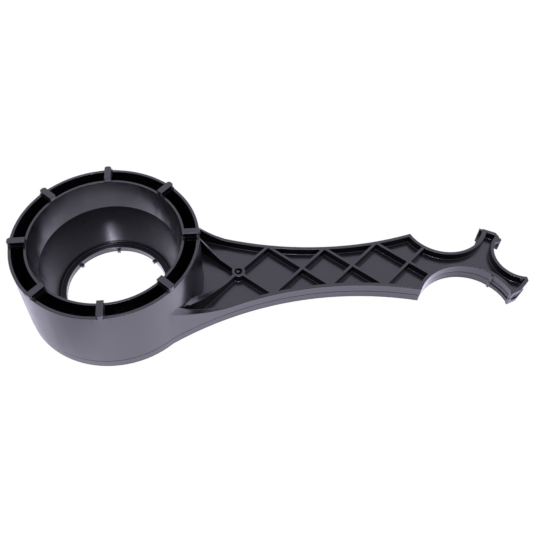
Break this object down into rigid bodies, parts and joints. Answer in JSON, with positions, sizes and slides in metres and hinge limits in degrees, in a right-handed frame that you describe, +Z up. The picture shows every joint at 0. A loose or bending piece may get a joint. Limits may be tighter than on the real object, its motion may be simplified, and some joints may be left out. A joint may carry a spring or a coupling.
{
  "type": "filter housing wrench",
  "caption": "Moulded plastic wrench with a deep lugged ring socket for a filter bowl, a ribbed waisted handle and a tail with open jaws of different sizes.",
  "frame": {"origin": "on the ring axis, in the plane of the ring's foot", "axes": "+Z up along the ring axis, from the foot to the lugged rim; +X along the handle, from the ring to the jaws; +Y towards the smaller side jaw"},
  "size_m": [0.3182, 0.1112, 0.0562],
  "materials": {
    "wrench": "semi-matte moulded black plastic"
  },
  "bodies": {
    "root": {"wrench": "wrench"}
  },
  "joints": []
}
